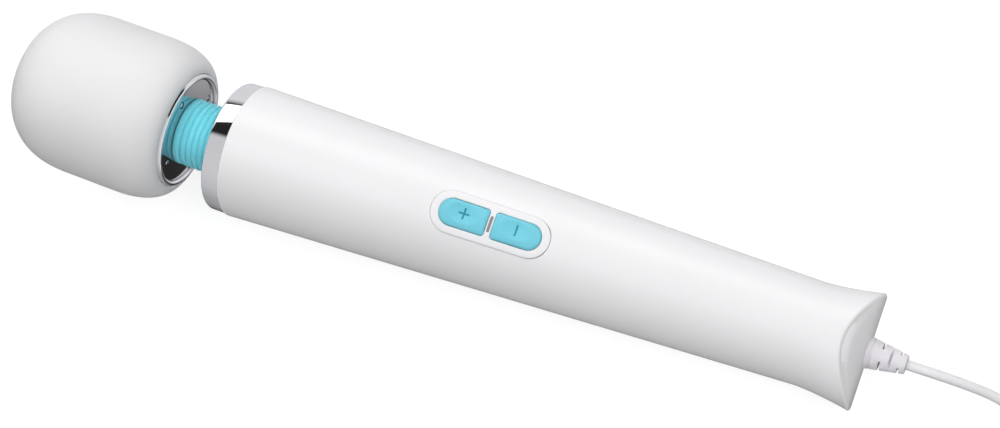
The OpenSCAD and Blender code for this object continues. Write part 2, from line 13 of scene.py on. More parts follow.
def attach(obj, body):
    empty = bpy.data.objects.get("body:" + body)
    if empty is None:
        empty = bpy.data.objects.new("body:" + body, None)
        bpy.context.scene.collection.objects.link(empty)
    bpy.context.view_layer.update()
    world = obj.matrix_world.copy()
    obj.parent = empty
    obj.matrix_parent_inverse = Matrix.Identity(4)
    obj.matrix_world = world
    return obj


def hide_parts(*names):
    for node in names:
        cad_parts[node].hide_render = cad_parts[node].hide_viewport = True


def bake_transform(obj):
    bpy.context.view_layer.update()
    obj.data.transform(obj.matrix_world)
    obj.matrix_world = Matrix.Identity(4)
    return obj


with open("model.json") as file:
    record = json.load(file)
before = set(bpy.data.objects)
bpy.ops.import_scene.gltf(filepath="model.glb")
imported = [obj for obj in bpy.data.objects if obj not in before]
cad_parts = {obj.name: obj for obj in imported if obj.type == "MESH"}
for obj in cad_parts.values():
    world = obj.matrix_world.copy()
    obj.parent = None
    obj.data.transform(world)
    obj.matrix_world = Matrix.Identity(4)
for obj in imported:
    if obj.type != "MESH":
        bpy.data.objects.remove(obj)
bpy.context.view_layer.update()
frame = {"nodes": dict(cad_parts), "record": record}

MM = 0.001
TAU = 2 * math.pi


# ---------------------------------------------------------------- frames
def shift(x, y, z):
    return Matrix.Translation((x, y, z))


def turn(degrees, axis):
    return Matrix.Rotation(math.radians(degrees), 4, axis)


# Each frame takes millimetres to metres. ROW is the row frame. WAND runs along the wand, with x
# from the tip of the head and +Z out of the buttons. HEAD is WAND with the head's turn at rest.
PIVOT_X = 82.8
NOD, SWAY, TILT = 2.0, 1.9, 2.4
ROW = Matrix.Diagonal((MM, MM, MM, 1))
WAND = ROW @ shift(-176.7, -1.8, 32.43) @ turn(TILT, "Y")
HEAD = WAND @ shift(PIVOT_X, 0, 0) @ turn(-SWAY, "Z") @ turn(NOD, "Y") @ shift(-PIVOT_X, 0, 0)


def place(points, matrix):
    """The points, moved by the matrix."""
    m = np.array(matrix)
    return np.asarray(points, float) @ m[:3, :3].T + m[:3, 3]


# ---------------------------------------------------------------- camera
SENSOR, LENS = 36, 78.8274
CAMERA_AT = (414.62, -63.33, 769.29)
CAMERA_TURN = {"Z": -0.311540, "Y": -0.274163, "X": -0.090682}
camera_data = bpy.data.cameras.new("camera")
camera_data.sensor_width = SENSOR
camera_data.lens = LENS
camera_data.clip_start, camera_data.clip_end = 0.05, 20
camera = bpy.data.objects.new("camera", camera_data)
bpy.context.scene.collection.objects.link(camera)
look = Matrix.Identity(3)
for axis, angle in CAMERA_TURN.items():
    look = look @ Matrix.Rotation(angle, 3, axis)
camera.matrix_world = (Matrix.Translation(WAND @ Vector(CAMERA_AT))
                       @ turn(TILT, "Y") @ look.transposed().to_4x4())
bpy.context.scene.camera = camera
bpy.context.scene.view_settings.view_transform = "Standard"


# ---------------------------------------------------------------- materials
# The colour sockets of a Mix node go by number, because its other sockets have the same names
MIX_FACTOR, MIX_A, MIX_B, MIX_RESULT = 0, 6, 7, 2


def new_node(tree, kind, links=None, **props):
    """A node with these properties, and with each input set to a value or linked to a socket."""
    node = tree.nodes.new(kind)
    for key, value in props.items():
        setattr(node, key, value)
    for key, value in (links or {}).items():
        if isinstance(value, bpy.types.NodeSocket):
            tree.links.new(value, node.inputs[key])
        else:
            node.inputs[key].default_value = value
    return node


def mixed(tree, factor, a, b):
    return new_node(tree, "ShaderNodeMix", {MIX_FACTOR: factor, MIX_A: a, MIX_B: b},
                    data_type="RGBA").outputs[MIX_RESULT]


MATERIALS = {}


class Nodes:
    """A material's node tree, with short calls for what the finishes below need. MATERIALS has
    the material by this name, also where Blender changes the name because the pack uses it."""

    def __init__(self, name, **sockets):
        self.material = MATERIALS[name] = bpy.data.materials.new(name)
        self.material.use_nodes = True
        self.tree = self.material.node_tree
        self.shader = self.tree.nodes["Principled BSDF"]
        self.coords = self.new("ShaderNodeTexCoord").outputs["Object"]
        for key, value in sockets.items():
            self.shader.inputs[key.replace("_", " ")].default_value = value

    def new(self, kind, links=None, **props):
        return new_node(self.tree, kind, links, **props)

    def noise(self, scale, detail=3.0, rough=0.55, stretch=(1, 1, 1)):
        at = self.new("ShaderNodeMapping", {"Vector": self.coords, "Scale": stretch}).outputs[0]
        return self.new("ShaderNodeTexNoise", {"Vector": at, "Scale": scale, "Detail": detail,
                                               "Roughness": rough}).outputs["Fac"]

    def ranged(self, value, low, high, start=0.3, end=0.7):
        return self.new("ShaderNodeMapRange", {"Value": value, "From Min": start, "From Max": end,
                                               "To Min": low, "To Max": high}).outputs[0]

    def maths(self, kind, a, b):
        return self.new("ShaderNodeMath", {0: a, 1: b}, operation=kind).outputs[0]

    def mix(self, factor, a, b):
        return mixed(self.tree, factor, a, b)

    def colour(self, socket):
        self.tree.links.new(socket, self.shader.inputs["Base Color"])

    def roughness(self, socket):
        self.tree.links.new(socket, self.shader.inputs["Roughness"])

    def bump(self, height, distance):
        """A bump of this distance in millimetres."""
        node = self.new("ShaderNodeBump", {"Height": height, "Distance": distance * MM,
                                           "Strength": 1.0})
        self.tree.links.new(node.outputs[0], self.shader.inputs["Normal"])


def tint(rgb, k):
    """The colour made k times as bright, as a socket's four numbers."""
    return (*[min(1.0, c * k) for c in rgb], 1)


def plastic(name, rgb, rough, grain=0.25, grain_mm=0.3, vary=0.03, wear=0.0, **sockets):
    """Moulded plastic or rubber: faint flow marks in the colour, uneven gloss and a fine grain."""
    m = Nodes(name, **sockets)
    cloud = m.noise(28, 4)
    fine = m.noise(1000 / grain_mm, 2)
    shade = m.mix(m.ranged(cloud, 0, 1), tint(rgb, 1 - vary), tint(rgb, 1 + vary * 0.5))
    if wear:
        dust = m.ranged(m.noise(420, 6, 0.7), 0, wear, 0.55, 0.8)
        shade = m.mix(dust, shade, tint(rgb, 0.86))
    m.colour(shade)
    m.roughness(m.ranged(m.noise(90, 5, 0.6), rough * 0.88, rough * 1.12))
    m.bump(fine, grain)


def metal(name, rgb, rough, stretch=(1, 1, 1), scratch=0.012, vary=0.06, **sockets):
    """Metal: streaks along its turning or drawing, uneven polish and hairline scratches."""
    m = Nodes(name, Metallic=1.0, **sockets)
    streaks = m.noise(900, 4, 0.6, stretch)
    blotch = m.noise(60, 4)
    m.colour(m.mix(m.ranged(blotch, 0, 1), tint(rgb, 1 - vary), tint(rgb, 1 + vary * 0.4)))
    m.roughness(m.ranged(streaks, rough * 0.8, rough * 1.25))
    m.bump(m.noise(2600, 3, 0.6, stretch), scratch)


def cast_iron(name, rgb):
    """Iron as it was cast or stacked: dark, matt and full of fine pores."""
    m = Nodes(name, Metallic=0.85)
    pores = m.noise(1500, 5, 0.7)
    m.colour(m.mix(m.ranged(m.noise(200, 4), 0, 1), tint(rgb, 0.8), tint(rgb, 1.1)))
    m.roughness(m.ranged(pores, 0.45, 0.7))
    m.bump(pores, 0.06)


def woven(name, rgb):
    """Woven strap: two crossed sets of fine ribs."""
    m = Nodes(name, Sheen_Weight=0.35, Sheen_Roughness=0.5)
    bands = [m.new("ShaderNodeTexWave", {"Vector": m.coords, "Scale": 480, "Distortion": 0.4},
                   bands_direction=d, wave_profile="SIN").outputs["Fac"] for d in ("X", "Z")]
    weave = m.maths("MAXIMUM", *bands)
    m.colour(m.mix(m.ranged(weave, 0, 1, 0.2, 0.9), tint(rgb, 0.55), tint(rgb, 1.15)))
    m.roughness(m.ranged(m.noise(700), 0.75, 0.95))
    m.bump(weave, 0.15)


PALE_SCATTER = {"Subsurface_Weight": 0.08, "Subsurface_Scale": 1.0}
plastic("cushion", (0.83, 0.83, 0.84), 0.36, grain=0.10, grain_mm=0.16, vary=0.012,
        Subsurface_Radius=(0.004, 0.004, 0.004), Specular_IOR_Level=0.4, **PALE_SCATTER)
plastic("shell_plastic", (0.86, 0.858, 0.872), 0.24, grain=0.03, grain_mm=0.5, vary=0.01,
        Specular_IOR_Level=0.35)
plastic("inner_plastic", (0.72, 0.72, 0.73), 0.5, grain=0.4)
metal("chrome_trim", (0.80, 0.80, 0.82), 0.05, (0.15, 1, 1), scratch=0.002, vary=0.02)
# plate_chrome is the trim's chrome made darker: painted shade for the plate, which sits in the
# hollow at the back of the head
metal("plate_chrome", (0.58, 0.58, 0.6), 0.07, (0.15, 1, 1), scratch=0.002, vary=0.02)
metal("small_screws", (0.78, 0.78, 0.80), 0.16, scratch=0.03)
# teal_rubber is lighter than the buttons' teal: partly the rubber's own colour, partly painted
# light that makes up for the shade the head and collar cast on the neck
plastic("teal_rubber", (0.22, 0.82, 0.95), 0.42, grain=0.2, grain_mm=0.2, vary=0.05,
        Subsurface_Weight=0.06, Subsurface_Radius=(0.001, 0.002, 0.002),
        Subsurface_Scale=1.0)
plastic("button_teal", (0.18, 0.64, 0.78), 0.38, grain=0.15, grain_mm=0.2, vary=0.05)
plastic("grey_lens", (0.27, 0.275, 0.285), 0.25, grain=0.1, grain_mm=0.2, vary=0.08)
metal("bronze", (0.60, 0.42, 0.22), 0.38, scratch=0.05, vary=0.15)
metal("steel", (0.55, 0.56, 0.58), 0.26, (0.2, 1, 1))
cast_iron("iron", (0.24, 0.25, 0.27))
plastic("black_plastic", (0.02, 0.02, 0.022), 0.42, grain=0.5, vary=0.2)
plastic("black_rubber", (0.03, 0.03, 0.033), 0.62, grain=0.8, grain_mm=0.4, vary=0.2)
plastic("board_green", (0.02, 0.16, 0.06), 0.3, grain=0.3, grain_mm=0.8, vary=0.15)
plastic("wire_red", (0.5, 0.02, 0.015), 0.4, grain=0.2, vary=0.1)
plastic("wire_grey", (0.2, 0.2, 0.21), 0.45, grain=0.2, vary=0.1)
plastic("relief_rubber", (0.86, 0.84, 0.88), 0.4, grain=0.2, grain_mm=0.25,
        Subsurface_Radius=(0.002, 0.002, 0.002), **PALE_SCATTER)
plastic("cord_white", (0.86, 0.86, 0.875), 0.38, grain=0.2, wear=0.15)
woven("tie_grey", (0.05, 0.05, 0.056))
plastic("adapter_plastic", (0.80, 0.80, 0.81), 0.4, grain=0.9, grain_mm=0.45, vary=0.02)
metal("blade_metal", (0.66, 0.62, 0.55), 0.24, (1, 1, 0.15), scratch=0.03, vary=0.1)
plastic("sign_ink", (0.02, 0.27, 0.37), 0.4, grain=0.1, grain_mm=0.2, vary=0.1)
# Slots of the materials that have no slot of their own
SLOTS = {part["node"]: part["material_slot"] for part in frame["record"]["subparts"]}


# ---------------------------------------------------------------- mesh helpers
WELD, TINY = 2e-6, 1e-7  # metres within which points are one, and within which an edge is none
CUT_SHARP = 30  # degrees from which an edge of a cut piece is sharp


def piece(name, verts, faces, slot, body, nodes=(), sharp=38):
    """A piece from points in metres in the row frame; its body is None where it is attached to no
    body.
    """
    mesh = bpy.data.meshes.new(name)
    mesh.from_pydata([tuple(v) for v in verts], [], [tuple(f) for f in faces])
    bm = bmesh.new()
    bm.from_mesh(mesh)
    bmesh.ops.remove_doubles(bm, verts=bm.verts, dist=WELD)
    bmesh.ops.dissolve_degenerate(bm, edges=bm.edges, dist=TINY)
    bmesh.ops.delete(bm, geom=[v for v in bm.verts if not v.link_faces], context="VERTS")
    bmesh.ops.recalc_face_normals(bm, faces=bm.faces)
    bm.to_mesh(mesh)
    bm.free()
    mesh.shade_smooth()
    mesh.set_sharp_from_angle(angle=math.radians(sharp))
    mesh.materials.append(MATERIALS[slot])
    obj = bpy.data.objects.new(name, mesh)
    bpy.context.scene.collection.objects.link(obj)
    if nodes:
        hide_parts(*nodes)
    if body:
        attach(obj, body)
    return obj


def grid_faces(rows, columns, wrap_rows=False, wrap_columns=False):
    """The quads of a grid of points, closed where its rows or columns wrap round."""
    faces = []
    for i in range(rows if wrap_rows else rows - 1):
        for j in range(columns if wrap_columns else columns - 1):
            a, b = i * columns, (i + 1) % rows * columns
            k = (j + 1) % columns
            faces.append((a + j, a + k, b + k, b + j))
    return faces


def rounded(corners, steps):
    """An outline of (u, v, radius) corners, each rounded by an arc of its radius."""
    out = []
    n = len(corners)
    for i, (u, v, r) in enumerate(corners):
        p = np.array([u, v], float)
        if r <= 0:
            out.append(p)
            continue
        a = np.array(corners[i - 1][:2], float) - p
        b = np.array(corners[(i + 1) % n][:2], float) - p
        la, lb = np.linalg.norm(a), np.linalg.norm(b)
        a, b = a / la, b / lb
        half = math.acos(max(-1, min(1, a @ b))) / 2
        back = min(r / math.tan(half), la * 0.49, lb * 0.49)
        r = back * math.tan(half)
        centre = p + (a + b) / np.linalg.norm(a + b) * r / math.sin(half)
        start, end = p + a * back - centre, p + b * back - centre
        sweep = math.atan2(start[0] * end[1] - start[1] * end[0], start @ end)
        for k in range(steps + 1):
            t = sweep * k / steps
            c, s = math.cos(t), math.sin(t)
            out.append(centre + [c * start[0] - s * start[1], s * start[0] + c * start[1]])
    return np.array(out)


def lathe(outline, matrix, n, at=(0, 0)):
    """Points and faces of a closed outline of (x, radius) turned about the line along x through
    at, with n steps round it."""
    t = np.arange(n) * TAU / n
    x, r = np.asarray(outline, float).T
    ring = np.stack([np.repeat(x[:, None], n, 1), at[0] + r[:, None] * np.cos(t),
                     at[1] + r[:, None] * np.sin(t)], 2)
    return place(ring.reshape(-1, 3), matrix), grid_faces(len(x), n, True, True)


def join(*forms):
    """Several (verts, faces) forms as one."""
    all_verts, all_faces = [], []
    for verts, faces in forms:
        first = sum(len(v) for v in all_verts)
        all_verts.append(np.asarray(verts))
        all_faces += [tuple(first + i for i in face) for face in faces]
    return np.concatenate(all_verts), all_faces


def rod(r, start, end, matrix, n, at=(0, 0)):
    """A plain cylinder along x."""
    return lathe([(start, 0), (start, r), (end, r), (end, 0)], matrix, n, at)


def cut(obj, *cutters):
    """Takes the cutters, closed (verts, faces) forms, out of the piece."""
    for verts, faces in cutters:
        mesh = bpy.data.meshes.new("cutter")
        mesh.from_pydata([tuple(v) for v in verts], [], faces)
        bm = bmesh.new()
        bm.from_mesh(mesh)
        bmesh.ops.remove_doubles(bm, verts=bm.verts, dist=TINY)
        bmesh.ops.recalc_face_normals(bm, faces=bm.faces)
        bm.to_mesh(mesh)
        bm.free()
        tool = bpy.data.objects.new("cutter", mesh)
        bpy.context.scene.collection.objects.link(tool)
        modifier = obj.modifiers.new("cut", "BOOLEAN")
        modifier.object = tool
        modifier.solver = "EXACT"
        bpy.context.view_layer.update()
        done = bpy.data.meshes.new_from_object(obj.evaluated_get(
            bpy.context.evaluated_depsgraph_get()))
        obj.modifiers.clear()
        old, obj.data = obj.data, done
        done.name = obj.name
        bpy.data.meshes.remove(old)
        bpy.data.objects.remove(tool)
        bpy.data.meshes.remove(mesh)
    obj.data.shade_smooth()
    obj.data.set_sharp_from_angle(angle=math.radians(CUT_SHARP))


def box_form(low, high, matrix):
    corners = [(x, y, z) for x in (low[0], high[0]) for y in (low[1], high[1])
               for z in (low[2], high[2])]
    faces = [(0, 1, 3, 2), (4, 6, 7, 5), (0, 4, 5, 1), (2, 3, 7, 6), (0, 2, 6, 4), (1, 5, 7, 3)]
    return place(corners, matrix), faces


def slits(places, clear, reach, matrix):
    """Cutters for a pair of slits at each place along x, with every other pair turned by 90
    degrees. A pair leaves a bridge of twice clear between its slits."""
    half = 0.4
    cutters = []
    for k, x in enumerate(places):
        turned = matrix @ turn(90 * (k % 2), "X")
        for low, high in ((clear, reach), (-reach, -clear)):
            cutters.append(box_form((x - half, low, -reach), (x + half, high, reach), turned))
    return cutters


# ---------------------------------------------------------------- cord
CORD_D = 3.5
LEAD = [(176.7, -1.8, 17.62), (183, -1.8, 17.3), (189, -1.8, 16.7), (195, -1.8, 15.2),
        (201, -1.9, 12.9), (207, -2.3, 10), (213, -3.6, 7.2), (219, -6.5, 5), (225, -11, 3.4),
        (230.5, -16.2, 2.7), (236, -21, 2.4), (241.5, -24.6, 2.35), (247, -26, 2.35)]
TAIL = [(247, -26, 13.15), (252, -25.9, 13.15), (257, -25.5, 13.1), (262, -25, 13.05),
        (267, -24.5, 13), (272, -24.5, 13), (281, -24.5, 13), (290, -24.5, 13)]
COIL_X, COIL_R, COIL_PITCH, COIL_Z, LAYERS, TURNS = 247.0, 26.0, 3.6, 2.35, 4, 3
COIL_IN = COIL_R - TURNS * COIL_PITCH
COIL_TOP = COIL_Z + (LAYERS - 1) * COIL_PITCH


def smoothed(points, steps=4):
    """The points with a Catmull-Rom curve between them."""
    p = np.array([points[0], *points, points[-1]], float)
    out = []
    for i in range(1, len(p) - 2):
        for k in range(steps):
            t = k / steps
            out.append(0.5 * (2 * p[i] + (p[i + 1] - p[i - 1]) * t
                              + (2 * p[i - 1] - 5 * p[i] + 4 * p[i + 1] - p[i + 2]) * t * t
                              + (3 * p[i] - p[i - 1] - 3 * p[i + 1] + p[i + 2]) * t ** 3))
    return out + [p[-1]]


def coil_points(per_turn=36):
    """Layers that spiral in and out by turns, with a third of a turn of climb between them."""
    points, angle, z = [], -90.0, COIL_Z
    step, level, climb = 360 / per_turn, TURNS * per_turn, per_turn // 3
    for layer in range(LAYERS):
        start, end = (COIL_R, COIL_IN) if layer % 2 == 0 else (COIL_IN, COIL_R)
        for k in range(level):
            points.append((start + (end - start) * k / level, angle, z))
            angle += step
        if layer < LAYERS - 1:
            for k in range(climb):
                s = k / climb
                points.append((end, angle, z + COIL_PITCH * s * s * (3 - 2 * s)))
                angle += step
            z += COIL_PITCH
    return [(COIL_X + r * math.cos(math.radians(a)), r * math.sin(math.radians(a)), h)
            for r, a, h in points]


route = smoothed(LEAD)[:-1] + coil_points() + smoothed(TAIL)
curve = bpy.data.curves.new("cord", "CURVE")
curve.dimensions = "3D"
curve.bevel_depth = CORD_D / 2 * MM
curve.bevel_resolution = 5
curve.use_fill_caps = True
spline = curve.splines.new("POLY")
spline.points.add(len(route) - 1)
for point, (x, y, z) in zip(spline.points, route):
    point.co = (x * MM, y * MM, z * MM, 1)
spline.use_smooth = True
curve.materials.append(MATERIALS["cord_white"])
cord = bpy.data.objects.new("cord", curve)
bpy.context.scene.collection.objects.link(cord)
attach(cord, "handle")
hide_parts("cord_lead", "cord_coil", "cord_tail")

# The tie: a band round all the turns on the coil's +y side
TIE_HALF, TIE_T, TIE_CORNER = 4.5, 0.55, 1.7
TIE_Y = (COIL_IN - 2.5, COIL_R + CORD_D / 2 + 0.1)
TIE_Z = (COIL_Z - CORD_D / 2, COIL_TOP + CORD_D / 2)
tie_path = rounded([(TIE_Y[0], TIE_Z[0], TIE_CORNER), (TIE_Y[1], TIE_Z[0], TIE_CORNER),
                    (TIE_Y[1], TIE_Z[1], TIE_CORNER), (TIE_Y[0], TIE_Z[1], TIE_CORNER)], 8)
tie_section = rounded([(-TIE_HALF, 0.02, 0.12), (TIE_HALF, 0.02, 0.12),
                       (TIE_HALF, TIE_T, 0.25), (-TIE_HALF, TIE_T, 0.25)], 3)
tie_rows = []
for before, here, after in zip(np.roll(tie_path, 1, 0), tie_path, np.roll(tie_path, -1, 0)):
    along = after - before
    out = np.array([along[1], -along[0]]) / np.linalg.norm(along)
    tie_rows.append([(COIL_X + s[0], *(here + out * s[1])) for s in tie_section])
tie = piece("tie", place(np.array(tie_rows).reshape(-1, 3), ROW),
            grid_faces(len(tie_path), len(tie_section), True, True), "tie_grey", "handle",
            ["cord_tie"])


# ---------------------------------------------------------------- adapter
ADAPTER_X, ADAPTER_Y, ADAPTER_TOP = (289, 343), (-35.5, 0.5), 26.0
SPLIT, EDGE, LIP, GROOVE = 13.0, 2.2, 0.25, 1.2
BLADE_X, BLADE_YS, BLADE_L, BLADE_T, BLADE_TIP = 319, (-23.85, -11.15), 6.3, 1.5, 41.9
PLUG_Y, PLUG_Z, PLUG_START, PLUG_END = -24.5, 13.0, 266.9, 290.3


def block_form(x_ends, y_ends, profile, corner, steps=7):
    """A block with rounded upright edges. Its profile goes up from the floor, as the (inset,
    height) of one ring after the other."""
    (x0, x1), (y0, y1) = x_ends, y_ends
    ring = []
    for cx, cy, a in ((x1, y1, 0), (x0, y1, 90), (x0, y0, 180), (x1, y0, 270)):
        sx, sy = (-1 if cx == x1 else 1), (-1 if cy == y1 else 1)
        for k in range(steps + 1):
            ring.append((cx, cy, sx, sy, math.radians(a + 90 * k / steps)))
    rows = []
    for inset, z in profile:
        r = max(corner - inset, 0.05)
        rows.append([(cx + sx * (r + inset) + r * math.cos(t),
                      cy + sy * (r + inset) + r * math.sin(t), z) for cx, cy, sx, sy, t in ring])
    n = len(ring)
    faces = grid_faces(len(rows), n, False, True)
    faces.append(tuple(range(n)))
    faces.append(tuple(range((len(rows) - 1) * n, len(rows) * n)))
    return place(np.array(rows).reshape(-1, 3), ROW), faces


def arc(z, r, start, end, steps=5):
    """(inset, height) points of an arc round (r, z), with angles in degrees from outwards."""
    return [(r - r * math.cos(math.radians(start + (end - start) * k / steps)),
             z + r * math.sin(math.radians(start + (end - start) * k / steps)))
            for k in range(steps + 1)]


lower = [(EDGE + 1, 0.0), *arc(EDGE, EDGE, -90, 0), (0, SPLIT - 0.35),
         *arc(SPLIT - 0.35, LIP, 0, 70, 3), (GROOVE, SPLIT - 0.1)]
upper = [(GROOVE, SPLIT + 0.1), *arc(SPLIT + 0.35, LIP, -70, 0, 3), (0, ADAPTER_TOP - EDGE),
         *arc(ADAPTER_TOP - EDGE, EDGE, 0, 90), (4.2, ADAPTER_TOP), (4.6, ADAPTER_TOP - 0.25),
         (5.6, ADAPTER_TOP - 0.25)]
base = piece("adapter_back", *block_form(ADAPTER_X, ADAPTER_Y, lower, 6), "adapter_plastic",
             "handle", ["adapter_base"])
cover = piece("adapter_front", *block_form(ADAPTER_X, ADAPTER_Y, upper, 6), "adapter_plastic",
              "handle", ["adapter_cover"])
blade_line = [(0.0, ADAPTER_TOP - 2), (0.0, BLADE_TIP - 1.5), *arc(BLADE_TIP - 0.7, 0.55, 0, 60, 3),
              (0.6, BLADE_TIP)]
for i, y in enumerate(BLADE_YS):
    blade = piece(f"adapter_blade_{i + 1}", *block_form(
        (BLADE_X - BLADE_L / 2, BLADE_X + BLADE_L / 2), (y - BLADE_T / 2, y + BLADE_T / 2),
        blade_line, 0.3, 3), "blade_metal", "handle")
    hole = shift(BLADE_X, y, BLADE_TIP - 4) @ turn(90, "X") @ turn(90, "Y")
    cut(blade, rod(1.6, -2, 2, ROW @ hole, 32))
    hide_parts("adapter_blades")
relief_line = rounded([(PLUG_START, CORD_D / 2, 0), (PLUG_START, 2.55, 0.35), (289.2, 3.45, 0),
                       (289.2, 4.2, 0.3), (PLUG_END, 4.2, 0.2), (PLUG_END, CORD_D / 2, 0)], 4)
adapter_relief = piece("adapter_relief", *lathe(relief_line, ROW, 48, (PLUG_Y, PLUG_Z)),
                       "relief_rubber", "handle", ["adapter_strain_relief"])
cut(adapter_relief, *slits([271.5 + 3.2 * k for k in range(5)], 1.95, 6,
                           ROW @ shift(0, PLUG_Y, PLUG_Z) @ turn(90, "X")))


# ---------------------------------------------------------------- head
HEAD_R, DOME, BAND_END, HEAD_LEN, LIP_R = 31.4, 29.0, 50.0, 69.5, 22.8
LIP_X = 66.4  # where the parts of the head's rear end inside it
ROUND = 224  # steps round the head


def cushion_outline():
    """A dome, a short straight band and a rounded back, whose arcs are squarer than a circle's."""
    t = np.radians(np.linspace(0, 90, 61))
    dome = np.stack([DOME - DOME * np.cos(t) ** (2 / 2.36), HEAD_R * np.sin(t) ** (2 / 2.68)], 1)
    band = [(x, HEAD_R) for x in np.linspace(DOME, BAND_END, 14)[1:-1]]
    t = np.radians(np.linspace(0, 90, 41))[:-2]
    back = np.stack([BAND_END + (HEAD_LEN - BAND_END) * np.sin(t) ** (2 / 2.4),
                     LIP_R + (HEAD_R - LIP_R) * np.cos(t)], 1)
    lip = rounded([tuple(back[-1]) + (0,), (HEAD_LEN, LIP_R - 0.02, 0.3),
                   (LIP_X, LIP_R - 0.02, 0)], 4)
    inner = [(60, 26), (40, 28), (15, 24), (3.5, 0)]
    return np.concatenate([dome, band, back, lip[1:], inner])


piece("head_cushion_skin", *lathe(cushion_outline(), HEAD, ROUND), "cushion", "head",
      ["head_cushion"])

PLATE_X, PLATE_BACK, PLATE_EDGE, PLATE_R, PLATE_HOLE = 70.0, 68.25, 69.2, 20.4, 10.6
PLATE_SCREWS, SCREW_OUT = (-115.5, -25.5, 64.5, 154.5), 16.2
# The last two give the black ring round each screw's head: painted shade that darkens the pocket
# round the screw
SCREW_R, SCREW_HIGH, SHADE_RING_R, SHADE_RING_X = 0.95, 0.5, 1.4, (69.05, 69.3)
# The plate bulges a little, so that what it mirrors changes over it
plate_line = rounded([(PLATE_BACK, PLATE_HOLE, 0), (PLATE_X, PLATE_HOLE, 0.1),
                      (PLATE_X, PLATE_HOLE + 2, 1.0), (PLATE_EDGE + 0.15, PLATE_R - 0.1, 0.1),
                      (PLATE_EDGE, PLATE_R + 0.05, 0), (PLATE_BACK, PLATE_R + 0.05, 0)], 6)
plate = piece("head_plate_skin", *lathe(plate_line, HEAD, ROUND), "plate_chrome", "head",
              ["head_plate"])
rim_line = rounded([(LIP_X, PLATE_R + 0.15, 0), (PLATE_X - 0.1, PLATE_R + 0.15, 0.2),
                    (PLATE_X + 0.55, PLATE_R + 0.6, 0.6), (PLATE_X + 0.45, LIP_R - 0.6, 1.2),
                    (PLATE_EDGE, LIP_R - 0.1, 0.3), (LIP_X, LIP_R - 0.1, 0)], 8)
piece("head_rim_skin", *lathe(rim_line, HEAD, ROUND), "chrome_trim", "head")


def screw_form(matrix, r, h):
    """A pan-head screw along the matrix's x, seen from +x, and the bars that cut its recess."""
    head = lathe(rounded([(-3, 0, 0), (-3, r * 0.5, 0), (0, r * 0.5, 0), (0, r, 0.05),
                          (h, r, h * 0.55), (h + 0.05, 0, 0)], 5), matrix, 40)
    bars = [box_form((h * 0.45, -r * 0.62, -r * 0.13), (h * 2, r * 0.62, r * 0.13),
                     matrix @ turn(a, "X")) for a in (45, 135)]
    return head, bars


# The screws sit in pockets cut in the plate. The black ring at each pocket's bottom, round the
# screw's head, is painted shade, the dark of the pocket, in the black rubber material
cut(plate, *[rod(SHADE_RING_R + 0.02, PLATE_X - 1, PLATE_X + 2, HEAD @ turn(a, "X"), 40,
                 (SCREW_OUT, 0)) for a in PLATE_SCREWS])
shade_ring_line = rounded([(SHADE_RING_X[0], SCREW_R + 0.03, 0), (SHADE_RING_X[1], SCREW_R + 0.03, 0.05),
                       (SHADE_RING_X[1], SHADE_RING_R, 0.05), (SHADE_RING_X[0], SHADE_RING_R, 0)], 3)
for i, a in enumerate(PLATE_SCREWS):
    at = HEAD @ turn(a, "X") @ shift(0, SCREW_OUT, 0)
    form, bars = screw_form(at @ shift(PLATE_EDGE + 0.02, 0, 0), SCREW_R, SCREW_HIGH)
    screw = piece(f"plate_screw_{i + 1}", *form, "small_screws", "head", ["plate_screws"])
    cut(screw, *bars)
    piece(f"screw_pocket_shade_{i + 1}", *lathe(shade_ring_line, at, 40), "black_rubber", "head")


# ---------------------------------------------------------------- neck sleeve
BEND_FROM, BEND_OVER = 94, 20
SLEEVE_X, SLEEVE_END, SLEEVE_BORE = 70.14, 98.7, 10.9
RIB_START, RIB_PITCH, RIB_ROOT, RIB_HIGH = 70.3, 2.5, 12.08, 0.9


def bent(points):
    """Bends straight points of the neck as it rests, up to the head's whole turn."""
    p = np.array(points, float)
    part = np.clip((BEND_FROM - p[:, 0]) / BEND_OVER, 0, 1)
    part = part * part * (3 - 2 * part)
    n, s = np.radians(NOD * part), np.radians(-SWAY * part)
    x, y, z = p[:, 0] - PIVOT_X, p[:, 1], p[:, 2]
    x, z = x * np.cos(n) + z * np.sin(n), z * np.cos(n) - x * np.sin(n)
    x, y = x * np.cos(s) - y * np.sin(s), y * np.cos(s) + x * np.sin(s)
    return np.stack([x + PIVOT_X, y, z], 1)


def ribs(start, end, steps=14):
    """Rounded ribs with narrow grooves, each in so many steps."""
    n = round((end - start) / RIB_PITCH * steps)
    out = []
    for k in range(n + 1):
        x = start + (end - start) * k / n
        wave = abs(math.sin(math.pi * (x - RIB_START) / RIB_PITCH))
        out.append((x, RIB_ROOT + RIB_HIGH * wave ** 0.6))
    return out


def sleeve_half(name, outline):
    verts, faces = lathe(outline, Matrix.Identity(4), 176)
    return piece(name, place(bent(verts), WAND), faces, "teal_rubber", None, sharp=60)


front = sleeve_half("sleeve_front", [
    (PIVOT_X, SLEEVE_BORE), (SLEEVE_X, SLEEVE_BORE), (SLEEVE_X, 12.7), (SLEEVE_X + 0.2, 12.94),
    *ribs(71.55, PIVOT_X)])
rear = sleeve_half("sleeve_rear", [
    (SLEEVE_END, SLEEVE_BORE), (PIVOT_X, SLEEVE_BORE), *ribs(PIVOT_X, 95.3), (96.4, 12.9),
    (96.4, 14.9), (SLEEVE_END, 14.9)])
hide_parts("neck_sleeve")
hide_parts("neck_sleeve")
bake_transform(front)
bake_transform(rear)

# ---------------------------------------------------------------- collar
collar_line = rounded([(91.2, 21.1, 0), (89.1, 21.1, 0.15), (89.0, 24.9, 0.85),
                       (96.12, 25.08, 0.12), (96.12, 23.6, 0), (91.2, 23.6, 0)], 7)
piece("collar_skin", *lathe(collar_line, WAND, 256), "chrome_trim", "handle", ["collar_ring"])


